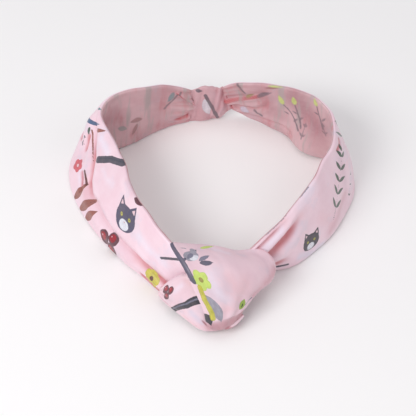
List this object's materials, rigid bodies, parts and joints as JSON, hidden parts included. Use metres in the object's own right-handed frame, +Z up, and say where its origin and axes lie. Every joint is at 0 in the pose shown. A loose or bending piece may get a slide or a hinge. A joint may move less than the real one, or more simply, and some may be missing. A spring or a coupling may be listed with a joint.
{
  "type": "knotted headband",
  "caption": "Soft satin loop worn round the head, tied in an overhand knot in front and closed behind by a short gathered elastic sleeve.",
  "frame": {"origin": "centre of the bounding box in X and Y, on the plane that the band's lower edge rests on", "axes": "+Z up across the band's width, -Y towards the knot, +Y towards the gathered elastic sleeve, +X to the wearer's left when the knot is at the front"},
  "size_m": [0.1778, 0.1801, 0.0462],
  "materials": {
    "face_satin": "pale pink printed satin, smooth side out",
    "lining_satin": "the same printed satin on the side that faces the head, in shade",
    "knot_satin": "pale pink printed satin, pulled smooth over the knot",
    "casing_satin": "ruched pink satin",
    "elastic": "white braided elastic",
    "thread": "matching pink polyester thread"
  },
  "bodies": {
    "knot": {"knot_wrap": "knot_satin", "knot_tuck": "knot_satin", "knot_core": "knot_satin", "knot_tack_stitch": "thread", "elastic_casing": "casing_satin", "elastic_strip": "elastic", "left_elastic_bartack": "thread", "right_elastic_bartack": "thread"},
    "left_arm": {"left_arm_face_panel": "face_satin", "left_arm_lining_panel": "lining_satin", "left_join_stitching": "thread"},
    "right_arm": {"right_arm_face_panel": "face_satin", "right_arm_lining_panel": "lining_satin", "right_join_stitching": "thread"}
  },
  "joints": [
    {"name": "left_arm_spread", "type": "hinge", "parent": "knot", "child": "left_arm", "pos_m": [-0.0266, -0.0569, 0.018], "axis": [0, 0, 1], "range_deg": [0, 8.3], "stiffness_Nm_per_rad": 1},
    {"name": "right_arm_spread", "type": "hinge", "parent": "knot", "child": "right_arm", "pos_m": [0.0259, -0.0474, 0.015], "axis": [0, 0, 1], "range_deg": [-8.3, 0], "stiffness_Nm_per_rad": 1}
  ],
  "couplings": [
    {"joint": "right_arm_spread", "follows": "left_arm_spread", "ratio": -1}
  ]
}
